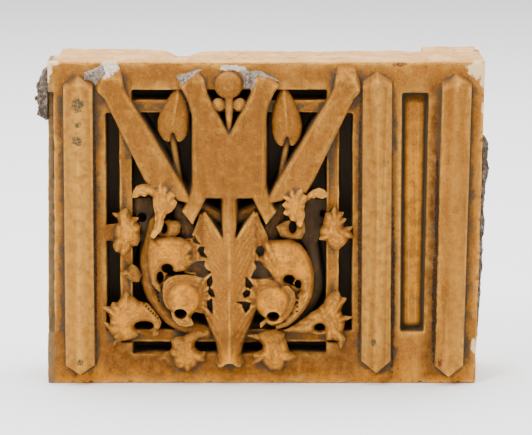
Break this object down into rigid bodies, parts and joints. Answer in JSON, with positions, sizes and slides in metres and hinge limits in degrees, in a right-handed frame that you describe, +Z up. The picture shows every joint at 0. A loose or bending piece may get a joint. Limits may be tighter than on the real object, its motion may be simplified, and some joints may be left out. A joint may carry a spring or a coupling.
{
  "type": "terracotta facing panel",
  "caption": "Terracotta facing block with ridged bars, a sunk flute and a pierced panel of straps, a shield, buds and acanthus scrolls, hollow at the back for building into a wall.",
  "frame": {"origin": "centre of the underside bed, midway between the plain face and the back rim", "axes": "+X to the viewer's right along the face, +Y into the wall, +Z up; the carved face looks along -Y"},
  "size_m": [0.4199, 0.145, 0.306],
  "materials": {
    "clay": "matt fired clay, buff to orange, sooty in the recesses",
    "mortar": "rough sandy lime mortar"
  },
  "bodies": {
    "root": {"terracotta_block": "clay", "mortar_left_end": "mortar", "mortar_right_end": "mortar", "mortar_strap_head": "mortar", "mortar_shield_arm": "mortar", "mortar_fruit": "mortar"}
  },
  "joints": []
}
